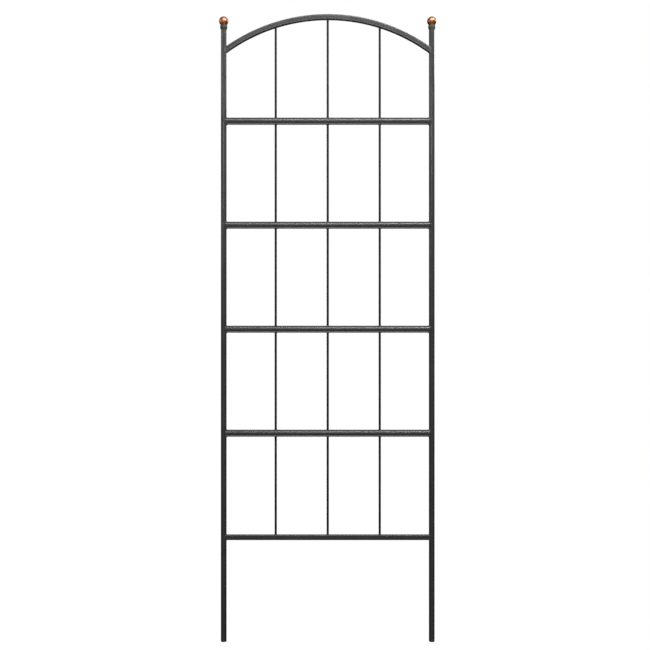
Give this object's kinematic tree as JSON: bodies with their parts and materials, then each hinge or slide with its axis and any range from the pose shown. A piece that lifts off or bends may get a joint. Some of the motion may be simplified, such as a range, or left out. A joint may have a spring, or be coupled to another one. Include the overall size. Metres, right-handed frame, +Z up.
{
  "type": "garden trellis",
  "caption": "Tall narrow garden trellis in dark tubular steel: round posts, arched top rail, crossbars, thin upright rods and copper ball finials.",
  "frame": {"origin": "on the surface under the feet, midway between the two posts and in the plane of the trellis", "axes": "+X to the right seen from the front, +Y towards the back, +Z up along the posts"},
  "size_m": [0.763, 0.033, 2.1988],
  "materials": {
    "powder_coat": "satin dark grey powder coat on steel tube, faint orange peel",
    "collar_coat": "satin dark grey coat with a slight olive bronze tint, on a turned steel ring",
    "copper_plate": "polished copper plate, light handling marks",
    "zinc_plate": "bright zinc plate",
    "plug_plastic": "moulded black plastic"
  },
  "bodies": {
    "root": {"left_post": "powder_coat", "right_post": "powder_coat", "arch_rail": "powder_coat", "crossbar_1": "powder_coat", "crossbar_2": "powder_coat", "crossbar_3": "powder_coat", "crossbar_4": "powder_coat", "bottom_rail": "powder_coat", "rod_1": "powder_coat", "rod_2": "powder_coat", "rod_3": "powder_coat", "left_collar": "collar_coat", "right_collar": "collar_coat", "left_ball": "copper_plate", "right_ball": "copper_plate", "left_ball_stud": "zinc_plate", "right_ball_stud": "zinc_plate", "left_foot_plug": "plug_plastic", "right_foot_plug": "plug_plastic"}
  },
  "joints": []
}
